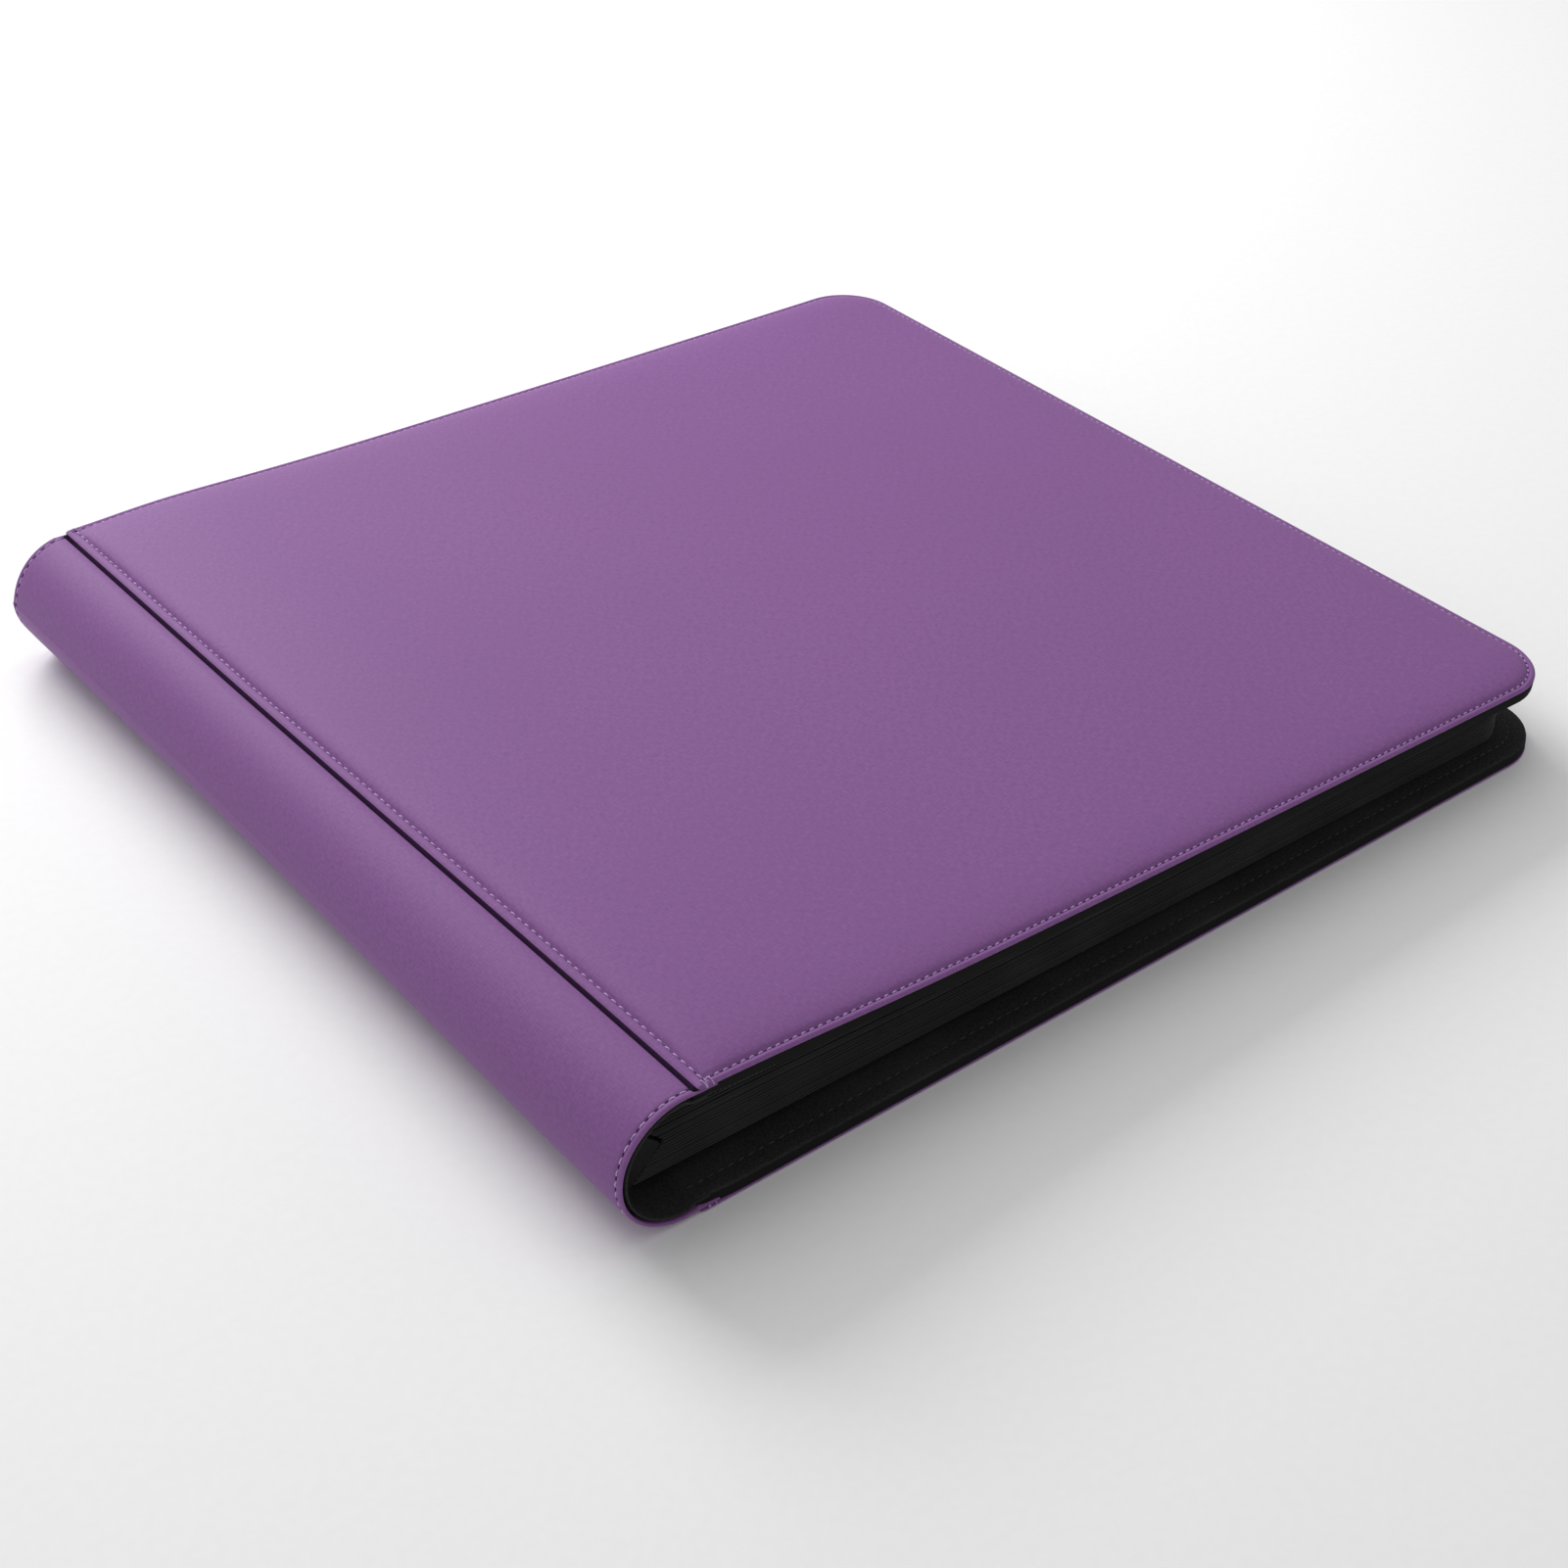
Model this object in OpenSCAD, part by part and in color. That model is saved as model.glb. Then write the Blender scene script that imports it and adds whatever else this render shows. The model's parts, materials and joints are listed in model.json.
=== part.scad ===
// Card binder with padded covers, a roll-up spine and a block of pocket leaves.
// Closed and lying on its back cover. +X runs from the spine to the fore-edge,
// Y runs along the spine, +Z is up. Origin: centre of the outline, on the table.

/* [Covers] */
// Length of the covers along the spine
cover_l = 345; // [200:1:420]
// Width of a cover from its spine seam to the fore-edge
cover_w = 335; // [180:1:420]
// Overall thickness of the closed binder at the spine seam
spine_h = 43; // [38:0.5:60]
// Overall thickness of the closed binder at the fore-edge
fore_h = 31; // [31:0.5:38]
// Radius of the two fore-edge corners of a cover
corner_r = 20; // [12:1:60]
// Thickness of the leatherette
leather_t = 1; // [0.6:0.1:1.2]
// Thickness of the foam under the leatherette
foam_t = 1.6; // [1.2:0.1:2]
// Thickness of the stiff cover board
board_t = 1.6; // [1:0.1:2]
// Thickness of the black inner lining
lining_t = 0.6; // [0.4:0.1:0.8]
// Width of the folded leatherette hem along the free edges
hem_w = 5.5; // [4.5:0.5:10]
// Distance of the inner lining from the free edges
lining_inset = 1.5; // [1:0.5:4]

/* [Spine] */
// Gap between the seam and the start of the round
round_start = 4; // [3:0.5:8]
// How far the spine leather runs under the cover's flap
margin_w = 9; // [6:0.5:16]
// Thickness of the bendable stiffener
stiffener_t = 0.8; // [0.4:0.1:1]
// Number of bands that the round is divided into, so that it can unroll
band_count = 3; // [3:2:5]

/* [Sewing] */
// Distance of the stitch line from the cover's edge
stitch_inset = 3; // [2:0.1:4]
// Distance of the stitch line from the ends of the spine
end_stitch_inset = 2.5; // [2:0.1:4]
// Width of the sewing thread
thread_w = 0.7; // [0.4:0.1:1]
// Height of the sewing thread
thread_h = 0.3; // [0.2:0.05:0.4]

/* [Leaves] */
// Number of pocket leaves
leaf_count = 20; // [8:2:20]
// Thickness of a leaf where it has pockets
leaf_t = 0.7; // [0.4:0.05:0.7]
// Thickness of the bare sheet along the hinge
sheet_t = 0.3; // [0.2:0.05:0.4]
// Distance between neighbouring leaves at the binding
root_pitch = 1.02; // [0.9:0.01:1.05]
// How far the leaves step forward from the outside of the block to its middle
root_step = 1.05; // [1.05:0.01:1.2]
// Distance of the leaves from the covers' near, far and fore edges
leaf_inset = 9; // [6:1:40]
// Distance of the pockets from the spine seam
pocket_start = 14; // [10:1:30]
// Radius of the leaves' fore-edge corners
leaf_corner_r = 14; // [4:1:30]

/* [Hidden] */
$fn = 96;
eps = 0.01;
band_gap = 0.15;      // half the gap between neighbouring bands
thread_side = 0.1;    // play on each side of the thread in its groove
thread_top = 0.05;    // play above and below the thread
layer_gap = 0.1;      // play between the flap and the leather margin under it
leaf_play = 0.35;     // play between the page block and the linings
root_play = 0.5;      // distance from a leaf's hinge line to the binding block
strip_play = 0.6;     // distance from a leaf's hinge line to its sheet
wing_t = 1.8;         // thickness of the binding block behind the outer leaves
wing_over = 1;        // how far the binding block runs past the outer leaves
shell_play = 1;       // play between the binding block and the spine lining
flap_board_play = 1;  // distance of the board from the flap's fold

cover_t = leather_t + foam_t + board_t + lining_t;
flap_t = leather_t + layer_gap;
spine_r = (spine_h - 2 * flap_t) / 2;
stiffener_r = spine_r - leather_t;
lining_r = stiffener_r - stiffener_t;
inner_r = lining_r - lining_t;
mid_z = spine_h / 2;
mid_x = (cover_w - round_start - spine_r) / 2;
tilt = atan((spine_h - fore_h) / cover_w);
band_angle = 180 / band_count;
middle_band = (band_count + 1) / 2;
half_foot = inner_r * sin(band_angle / 2) - band_gap;

half_block = (leaf_count - 1) / 2 * root_pitch;
wing_x = -round_start - sqrt(pow(inner_r, 2) - pow(half_block + wing_over, 2)) + shell_play;
root_x0 = wing_x + wing_t + root_play;
tip_x = cover_w - leaf_inset;
tip_low = cover_t + leaf_play + leaf_t / 2;
tip_high = fore_h - cover_t + leaf_inset * tan(tilt) - 2 * leaf_play - leaf_t / 2;
leaf_half_l = cover_l / 2 - leaf_inset;

leather_col = [0.48, 0.31, 0.55];
thread_col = [0.70, 0.55, 0.78];
lining_col = [0.06, 0.06, 0.065];
foam_col = [0.85, 0.84, 0.80];
board_col = [0.55, 0.50, 0.42];
stiffener_col = [0.30, 0.30, 0.32];
sheet_col = [0.09, 0.09, 0.10];

bands = [1 : band_count];
leaves = [1 : leaf_count];
function band_name(part, b) = str("spine_", part, "_", b);
function leaf_name(k) = str("leaf_", k < 10 ? "0" : "", k);
cover_parts = ["leather", "foam", "board", "lining", "thread", "spine_margin"];
band_parts = ["leather", "stiffener", "lining", "thread"];

// Outline of a cover, drawn in by inset. The fore-edge corners are round.
module cover_outline(inset, seam_inset) {
    r = corner_r - inset;
    half = cover_l / 2 - inset;
    round_x = cover_w - corner_r;
    translate([seam_inset, -half]) square([round_x - seam_inset, 2 * half]);
    translate([round_x - eps, -half + r]) square([r + eps, 2 * (half - r)]);
    for (side = [-1, 1]) translate([round_x, side * (half - r)]) circle(r);
}

module stitch_ring(width) {
    difference() {
        cover_outline(stitch_inset - width / 2, stitch_inset - width / 2);
        cover_outline(stitch_inset + width / 2, stitch_inset + width / 2);
    }
}

// The five layers of the back cover, from the outside (z = 0) to the inside.
module cover_leather() {
    color(leather_col) difference() {
        linear_extrude(cover_t - lining_t) cover_outline(0, 0);
        translate([0, 0, leather_t]) linear_extrude(foam_t + eps) cover_outline(hem_w, -eps);
        translate([0, 0, leather_t + foam_t]) linear_extrude(board_t + eps) cover_outline(leather_t, -eps);
        translate([0, 0, -eps]) linear_extrude(thread_h + 2 * thread_top + eps)
            stitch_ring(thread_w + 2 * thread_side);
    }
}

module cover_foam() {
    color(foam_col) translate([0, 0, leather_t]) linear_extrude(foam_t)
        cover_outline(hem_w + layer_gap, margin_w + layer_gap);
}

module cover_board() {
    color(board_col) translate([0, 0, leather_t + foam_t]) linear_extrude(board_t)
        cover_outline(leather_t + layer_gap, flap_board_play);
}

module cover_lining() {
    color(lining_col) translate([0, 0, cover_t - lining_t]) linear_extrude(lining_t)
        cover_outline(lining_inset, -round_start / 2);
}

module cover_thread() {
    color(thread_col) translate([0, 0, thread_top]) linear_extrude(thread_h) stitch_ring(thread_w);
}

// The edge of the spine leather, sewn in between the cover's flap and its foam.
// Under the flap it is cut back to fit between the folded hems.
module cover_spine_margin() {
    tongue_w = round_start - band_gap;
    tucked_l = cover_l - 2 * (hem_w + layer_gap);
    color(leather_col) translate([0, 0, flap_t]) {
        translate([-tongue_w, -cover_l / 2, 0]) cube([tongue_w, cover_l, leather_t]);
        translate([-eps, -tucked_l / 2, 0]) cube([margin_w + eps, tucked_l, leather_t]);
    }
}

module cover_layer(part) {
    if (part == "leather") cover_leather();
    if (part == "foam") cover_foam();
    if (part == "board") cover_board();
    if (part == "lining") cover_lining();
    if (part == "thread") cover_thread();
    if (part == "spine_margin") cover_spine_margin();
}

module back_cover(part) {
    translate([-mid_x, 0, 0]) cover_layer(part);
}

// The front cover is the back cover turned over, leaning down to the fore-edge.
module front_cover(part) {
    translate([-mid_x - round_start, 0, spine_h - flap_t])
        rotate([0, tilt, 0])
            translate([round_start, 0, flap_t]) mirror([0, 0, 1]) cover_layer(part);
}

// One band of the half-round, between radii r0 and r1, numbered from the back cover.
module band_sector(b, r0, r1, length) {
    reach = 2 * spine_r;
    a0 = -90 - (b - 1) * band_angle;
    a1 = a0 - band_angle;
    shift0 = band_gap * [cos(a0 - 90), sin(a0 - 90)];
    shift1 = band_gap * [cos(a1 + 90), sin(a1 + 90)];
    translate([-mid_x - round_start, 0, mid_z]) rotate([90, 0, 0])
        linear_extrude(length, center = true) intersection() {
            difference() {
                circle(r1);
                circle(r0);
            }
            polygon([
                (shift0 + shift1) / (1 + cos(band_angle)),
                shift0 + reach * [cos(a0), sin(a0)],
                shift1 + reach * [cos(a1), sin(a1)]
            ]);
        }
}

module end_rows() {
    for (side = [-1, 1]) translate([0, side * (cover_l / 2 - end_stitch_inset), 0]) children();
}

module spine_leather(b) {
    groove_r = spine_r - thread_h - 2 * thread_top;
    color(leather_col) difference() {
        band_sector(b, stiffener_r, spine_r, cover_l);
        end_rows() band_sector_groove(groove_r);
    }
}

module band_sector_groove(groove_r) {
    translate([-mid_x - round_start, 0, mid_z]) rotate([90, 0, 0])
        linear_extrude(thread_w + 2 * thread_side, center = true) difference() {
            circle(spine_r + 1);
            circle(groove_r);
        }
}

module spine_stiffener(b) {
    color(stiffener_col) band_sector(b, lining_r, stiffener_r, cover_l - 2 * layer_gap);
}

module spine_lining(b) {
    color(lining_col) band_sector(b, inner_r, lining_r, cover_l - 2 * lining_inset);
}

module spine_thread(b) {
    thread_r = spine_r - thread_h - thread_top;
    color(thread_col) end_rows() band_sector(b, thread_r, thread_r + thread_h, thread_w);
}

module spine_band(part, b) {
    if (part == "leather") spine_leather(b);
    if (part == "stiffener") spine_stiffener(b);
    if (part == "lining") spine_lining(b);
    if (part == "thread") spine_thread(b);
}

function steps_in(k) = min(k - 1, leaf_count - k);
function root_x(k) = root_x0 + steps_in(k) * root_step;
function root_z(k) = mid_z + (k - 1) * root_pitch - half_block;
function tip_z(k) = tip_low + (tip_high - tip_low) * (k - 1) / (leaf_count - 1);
function leaf_tilt(k) = atan2(root_z(k) - tip_z(k), tip_x - root_x(k));

// Block that the leaves are welded to. Its foot is glued to the middle band.
module binding_block() {
    foot_x = -round_start - sqrt(pow(inner_r, 2) - pow(half_foot, 2)) + layer_gap;
    face = [for (k = leaves) [root_x(k) - root_play, root_z(k)]];
    low = face[0] - [0, wing_over];
    high = face[leaf_count - 1] + [0, wing_over];
    outline = concat(
        [[foot_x, mid_z - half_foot + shell_play], [wing_x + shell_play, mid_z - half_foot + shell_play],
         [wing_x, low[1]], low],
        face,
        [high, [wing_x, high[1]], [wing_x + shell_play, mid_z + half_foot - shell_play],
         [foot_x, mid_z + half_foot - shell_play]]
    );
    color(lining_col) translate([-mid_x, 0, 0]) rotate([90, 0, 0])
        linear_extrude(2 * leaf_half_l, center = true) polygon(outline);
}

// A leaf: a thin hinge strip that widens into a panel of welded pockets.
module leaf(k) {
    length = (tip_x - root_x(k)) / cos(leaf_tilt(k));
    panel_x = pocket_start - root_x(k);
    round_x = length - leaf_corner_r;
    color(sheet_col) translate([root_x(k) - mid_x, 0, root_z(k)]) rotate([0, leaf_tilt(k), 0]) {
        translate([strip_play, -leaf_half_l, -sheet_t / 2])
            cube([panel_x - strip_play + eps, 2 * leaf_half_l, sheet_t]);
        translate([0, 0, -leaf_t / 2]) linear_extrude(leaf_t) {
            translate([panel_x, -leaf_half_l]) square([round_x - panel_x, 2 * leaf_half_l]);
            translate([round_x - eps, leaf_corner_r - leaf_half_l])
                square([leaf_corner_r + eps, 2 * (leaf_half_l - leaf_corner_r)]);
            for (side = [-1, 1])
                translate([round_x, side * (leaf_half_l - leaf_corner_r)]) circle(leaf_corner_r);
        }
    }
}

for (part = cover_parts) {
    front_cover(part);
    back_cover(part);
}
for (part = band_parts) for (b = bands)
    spine_band(part, b);
binding_block();
for (k = leaves)
    leaf(k);
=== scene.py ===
"""The look of a padded card binder: sewn leatherette, a roll-up spine, a black lining and pocket leaves."""
import json
import math
import random

import bmesh
import bpy
from bpy.props import FloatProperty, FloatVectorProperty, IntProperty, PointerProperty
from mathutils import Matrix, Vector, noise

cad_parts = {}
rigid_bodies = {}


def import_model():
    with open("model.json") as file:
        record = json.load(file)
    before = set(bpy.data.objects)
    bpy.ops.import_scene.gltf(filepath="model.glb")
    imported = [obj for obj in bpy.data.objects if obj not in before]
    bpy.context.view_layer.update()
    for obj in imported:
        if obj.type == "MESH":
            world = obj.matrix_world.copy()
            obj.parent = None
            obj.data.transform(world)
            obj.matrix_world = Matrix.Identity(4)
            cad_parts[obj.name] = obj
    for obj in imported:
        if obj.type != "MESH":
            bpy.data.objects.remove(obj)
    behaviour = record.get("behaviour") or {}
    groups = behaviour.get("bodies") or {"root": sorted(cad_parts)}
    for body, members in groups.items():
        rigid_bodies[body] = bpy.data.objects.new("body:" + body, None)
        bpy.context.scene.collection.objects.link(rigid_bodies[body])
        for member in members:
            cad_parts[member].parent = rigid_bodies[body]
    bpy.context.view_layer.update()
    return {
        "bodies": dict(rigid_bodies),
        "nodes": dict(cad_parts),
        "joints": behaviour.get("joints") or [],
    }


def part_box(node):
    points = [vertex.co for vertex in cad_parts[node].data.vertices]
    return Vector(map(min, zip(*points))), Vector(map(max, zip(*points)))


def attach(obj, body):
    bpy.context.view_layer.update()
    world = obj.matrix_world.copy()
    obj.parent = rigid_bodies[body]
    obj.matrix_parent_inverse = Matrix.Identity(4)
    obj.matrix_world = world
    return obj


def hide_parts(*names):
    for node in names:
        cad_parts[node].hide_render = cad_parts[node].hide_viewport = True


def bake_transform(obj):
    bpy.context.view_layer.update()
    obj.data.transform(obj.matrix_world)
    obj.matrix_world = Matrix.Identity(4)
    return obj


bl_info = {
    "name": "Card Binder",
    "version": (1, 0, 0),
    "blender": (4, 5, 0),
    "location": "View3D > Sidebar > Binder",
    "description": "Builds the leatherette, stitching, lining and leaves of a card binder around its frame",
    "category": "Object",
}

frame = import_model()
MM = 0.001


def joint_point(name):
    """Where a joint of the frame stands at rest."""
    for joint in frame["joints"]:
        if joint["name"] == name:
            return Vector(joint["pos_m"])
    raise RuntimeError(f"the frame has no joint {name}")


# What the frame says about the binder.
BACK_LOW, BACK_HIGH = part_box("back_cover_leather")
BACK_SEAM = joint_point("back_seam")
FRONT_SEAM = joint_point("front_seam")
SEAM_X = BACK_LOW.x
COVER_W = BACK_HIGH.x - BACK_LOW.x
HALF_L = BACK_HIGH.y
BODY_T = BACK_HIGH.z
COVER_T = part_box("back_cover_lining")[1].z
FLAP_T = BACK_SEAM.z
ROUND_START = SEAM_X - BACK_SEAM.x
SPINE_R = (FRONT_SEAM.z - BACK_SEAM.z) / 2
SPINE_X = BACK_SEAM.x
SPINE_Z = (FRONT_SEAM.z + BACK_SEAM.z) / 2
LINING_R = SPINE_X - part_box("spine_lining_2")[0].x
BAND_COUNT = sum(name.startswith("spine_band_") for name in frame["bodies"])
BAND_ANGLE = math.pi / BAND_COUNT
BODY_CHAIN = ["back_cover", *(f"spine_band_{band + 1}" for band in range(BAND_COUNT)), "front_cover"]
LEAF_COUNT = sum(name.startswith("leaf_") for name in frame["bodies"])


def cover_tilt():
    """How far the front cover leans down to its fore-edge, in radians."""
    below = BODY_T - FLAP_T
    along = COVER_W + ROUND_START
    drop = FRONT_SEAM.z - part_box("front_cover_leather")[0].z
    return math.asin(drop / math.hypot(along, below)) - math.atan2(below, along)


TILT = cover_tilt()


# ---------------------------------------------------------------- settings

def length(name, description, default):
    """A length in metres for the property groups."""
    return FloatProperty(
        name=name, description=description, default=default, min=0.0, max=1.0,
        unit="LENGTH", subtype="DISTANCE", precision=5,
    )


def angle(name, description, degrees):
    """An angle for the property groups, given in degrees."""
    return FloatProperty(name=name, description=description, default=math.radians(degrees), subtype="ANGLE")


def strength(name, description, default):
    """A light's power or strength for the property groups."""
    return FloatProperty(name=name, description=description, default=default, min=0.0)


def count(name, description, default):
    """A small whole number for the property groups."""
    return IntProperty(name=name, description=description, default=default, min=1, max=6)


def colour(name, description, default):
    """A linear colour for the property groups."""
    return FloatVectorProperty(
        name=name, description=description, default=default, size=3, min=0.0, max=1.0, subtype="COLOR",
    )


class BinderSizes(bpy.types.PropertyGroup):
    """Sizes that a maker would change."""
    corner_radius: length("Corner radius", "Radius of the covers' fore-edge corners", 0.020)
    leather_thickness: length("Leather", "Thickness of the leatherette", 0.95 * MM)
    crown: length("Crown", "How far the padding lifts the leatherette above the stitching", 2.6 * MM)
    hem_drop: length("Hem drop", "How far the folded edge lies below the cover's outer plane", 0.45 * MM)
    hem_width: length("Hem width", "How soon the folded edge rises to the cover's outer plane", 0.9 * MM)
    cover_sag: length("Cover sag", "How far the front cover hangs below a straight line", 2.9 * MM)
    front_draw: length("Front draw", "How far the front cover's fore-edge is drawn in", 1.8 * MM)
    spine_dent: length("Spine dent", "How far the soft spine is pressed in at its far end", 2.6 * MM)
    stitch_inset: length("Stitch inset", "Distance of the cover stitching from the free edges", 2.3 * MM)
    seam_inset: length("Seam stitch inset", "Distance of the flap's stitching from the seam edge", 3.0 * MM)
    end_inset: length("End stitch inset", "Distance of the spine stitching from the spine's ends", 2.4 * MM)
    stitch_pitch: length("Stitch pitch", "Distance between needle holes along the free edges", 2.75 * MM)
    seam_pitch: length("Seam pitch", "Distance between needle holes on the flap and the spine", 3.3 * MM)
    thread_radius: length("Thread", "Radius of the sewing thread", 0.25 * MM)
    pocket_columns: count("Columns", "Card pockets across a leaf", 4)
    pocket_rows: count("Rows", "Card pockets along the spine", 3)


class BinderColours(bpy.types.PropertyGroup):
    """Colours of the binder's materials."""
    leather: colour("Leatherette", "Covers and spine", (0.262, 0.113, 0.326))
    thread: colour("Thread", "Sewing thread", (0.50, 0.33, 0.63))
    # Painted shade: the needle holes are dark discs that stand in for the shade inside the holes.
    needle_hole: colour("Needle hole", "Punched leatherette", (0.035, 0.012, 0.055))
    lining: colour("Lining", "Inner lining", (0.0290, 0.0290, 0.0292))
    sheet: colour("Leaf sheet", "Black sheet of the leaves", (0.0250, 0.0250, 0.0253))
    foam: colour("Foam", "Padding foam", (0.62, 0.60, 0.54))
    board: colour("Board", "Grey cover board", (0.24, 0.21, 0.17))
    stiffener: colour("Stiffener", "Bendable spine sheet", (0.05, 0.05, 0.055))
    floor: colour("Floor", "Pale floor", (0.97, 0.97, 0.97))


class BinderStage(bpy.types.PropertyGroup):
    """Where the camera stands and how strong the lights are."""
    azimuth: angle("Azimuth", "Turn of the view about the vertical", -38.2568)
    elevation: angle("Elevation", "Height angle of the view", 35.9511)
    distance: length("Distance", "From the cover's near seam corner to the camera's plane", 0.69348)
    shift_right: length("Right", "How far the view stands to the right of that corner", 0.020821)
    shift_up: length("Up", "How far the view stands above that corner", 0.109369)
    lens: FloatProperty(name="Lens", description="Focal length in millimetres", default=62.645, min=10)
    key: strength("Key", "Power of the light above the spine's far end", 13.5)
    top: strength("Top", "Power of the large light overhead", 5.6)
    sky: strength("Sky", "Strength of the even light all round", 0.45)


def sizes():
    return bpy.context.scene.binder_sizes


def colours():
    return bpy.context.scene.binder_colours


# ---------------------------------------------------------------- shader maths

class Wire:
    """A shader output. Arithmetic on it adds Math nodes."""

    def __init__(self, graph, socket):
        self.graph = graph
        self.socket = socket

    def maths(self, operation, *values):
        return self.graph.add("ShaderNodeMath", {"operation": operation}, dict(enumerate(values)))

    def __add__(self, other):
        return self.maths("ADD", self, other)

    def __rsub__(self, other):
        return self.maths("SUBTRACT", other, self)

    def __mul__(self, other):
        return self.maths("MULTIPLY", self, other)

    __radd__ = __add__

    def smooth(self, low, high):
        """0 below low, 1 above high, and smooth between them."""
        settings = {"interpolation_type": "SMOOTHSTEP"}
        return self.graph.add("ShaderNodeMapRange", settings, {0: self, 1: low, 2: high, 3: 0.0, 4: 1.0})


class Graph:
    """The nodes of one material."""

    def __init__(self, name):
        self.material = bpy.data.materials.new(name)
        self.material.use_nodes = True
        self.tree = self.material.node_tree
        self.tree.nodes.clear()

    def add(self, kind, settings=None, sockets=None, out=0):
        """Adds a node: its settings first, then the values or links of its sockets."""
        node = self.tree.nodes.new(kind)
        for name, value in (settings or {}).items():
            setattr(node, name, value)
        for key, value in (sockets or {}).items():
            if isinstance(value, Wire):
                self.tree.links.new(value.socket, node.inputs[key])
            else:
                node.inputs[key].default_value = value
        return Wire(self, node.outputs[out])

    def flat(self):
        """Place on the flat cut piece, in metres, as the mesh carries it."""
        return self.add("ShaderNodeAttribute", {"attribute_name": "flat"}, out="Vector")

    def place(self):
        """Place in the object's own space, in metres."""
        return self.add("ShaderNodeTexCoord", out="Object")

    def scaled(self, vector, scale):
        return self.add("ShaderNodeVectorMath", {"operation": "MULTIPLY"}, {0: vector, 1: scale})

    def noise(self, vector, scale, detail=2.0, roughness=0.5):
        sockets = {"Vector": vector, "Scale": scale, "Detail": detail, "Roughness": roughness}
        return self.add("ShaderNodeTexNoise", None, sockets)

    def mix(self, factor, first, second):
        """A colour between two colours."""
        return self.add("ShaderNodeMix", {"data_type": "RGBA"}, {0: factor, 6: first, 7: second}, out=2)

    def tones(self, pattern, low, high, base, dark, light):
        """A base colour that a pattern turns from a darker to a lighter tone."""
        return self.mix(pattern.smooth(low, high), rgba(base, dark), rgba(base, light))

    def bump(self, height, strength, distance):
        sockets = {"Height": height, "Strength": strength, "Distance": distance}
        return self.add("ShaderNodeBump", None, sockets)

    def finish(self, sockets):
        """Adds the shader and the output, and returns the material."""
        shader = self.add("ShaderNodeBsdfPrincipled", None, sockets)
        output = self.tree.nodes.new("ShaderNodeOutputMaterial")
        self.tree.links.new(shader.socket, output.inputs["Surface"])
        return self.material


def rgba(values, factor=1.0):
    """A colour, lightened or darkened by a factor, with full alpha."""
    return (*(min(1.0, value * factor) for value in values), 1.0)


MATERIALS = {}
FILM_TINTS = (0.55, 0.57, 0.60, 1.0), (0.72, 0.74, 0.77, 1.0)
WELD_TINTS = (0.014, 0.014, 0.015, 1.0), (0.032, 0.032, 0.035, 1.0)
BINDING_TINTS = (0.005, 0.005, 0.006, 1.0), (0.009, 0.009, 0.010, 1.0)


def material(maker):
    """The material of a maker function, made once."""
    if maker.__name__ not in MATERIALS:
        MATERIALS[maker.__name__] = maker()
    return MATERIALS[maker.__name__]


def leatherette():
    """Satin leatherette with a fine linen grain, a little polished where hands touch it, with painted shade
    along the seam.
    """
    graph = Graph("leatherette")
    base = colours().leather
    marked = graph.flat()
    flat = graph.scaled(marked, (1.0, 1.0, 0.0))
    # Painted shade: the third value of flat darkens the groove beside the flap and the seam edge below it;
    # it also stands for the dark raw edge of the folded leatherette.
    painted_seam_groove_shade = graph.add("ShaderNodeSeparateXYZ", None, {0: marked}, out="Z")
    warp = graph.noise(graph.scaled(flat, (2400.0, 420.0, 1.0)), 1.0, 1.0)
    weft = graph.noise(graph.scaled(flat, (420.0, 2400.0, 1.0)), 1.0, 1.0)
    grain = (warp + weft) * 0.5
    pores = graph.noise(flat, 5200.0, 2.0)
    cloud = graph.noise(flat, 9.0, 2.0)
    tone = graph.tones(cloud, 0.3, 0.7, base, 0.97, 1.03)
    tone = graph.mix(grain.smooth(0.36, 0.64), rgba(base, 0.80), tone)
    blotch = graph.noise(flat, 900.0, 1.0)
    tone = graph.mix(blotch.smooth(0.3, 0.7) * 0.35, tone, rgba(base, 0.84))
    tone = graph.mix(painted_seam_groove_shade.smooth(0.25, 1.0), tone, rgba(base, 0.14))
    relief = grain * 0.8 + pores * 0.2
    return graph.finish({
        "Base Color": tone,
        "Roughness": 0.50 + grain * 0.08 + cloud * 0.05 + painted_seam_groove_shade * 0.45,
        "Specular IOR Level": 0.14,
        "Sheen Weight": 0.10,
        "Sheen Roughness": 0.22,
        "Normal": graph.bump(relief, 0.34, 0.12 * MM),
    })


def sewing_thread():
    """Twisted polyester thread with a soft shine."""
    graph = Graph("sewing_thread")
    base = colours().thread
    place = graph.place()
    twist = graph.noise(place, 2600.0, 2.0)
    shade = graph.tones(twist, 0.35, 0.65, base, 0.72, 1.18)
    return graph.finish({
        "Base Color": shade,
        "Roughness": 0.42 + twist * 0.15,
        "Sheen Weight": 0.3,
        "Normal": graph.bump(twist, 0.5, 0.1 * MM),
    })


def lining_thread():
    """Black thread of the lining's seams."""
    graph = Graph("lining_thread")
    twist = graph.noise(graph.place(), 2600.0, 2.0)
    base = colours().lining
    return graph.finish({
        "Base Color": graph.tones(twist, 0.3, 0.7, base, 0.9, 1.8),
        "Roughness": 0.55 + twist * 0.1,
        "Normal": graph.bump(twist, 0.5, 0.1 * MM),
    })


def needle_hole():
    """Painted shade of the needle holes: dark discs on the leatherette where the needle went through."""
    graph = Graph("needle_hole")
    base = colours().needle_hole
    torn = graph.noise(graph.place(), 3000.0, 2.0)
    return graph.finish({
        "Base Color": graph.tones(torn, 0.3, 0.7, base, 0.7, 1.5),
        "Roughness": 0.8 + torn * 0.1,
        "Specular IOR Level": 0.2,
        "Normal": graph.bump(torn, 0.4, 0.1 * MM),
    })


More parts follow.
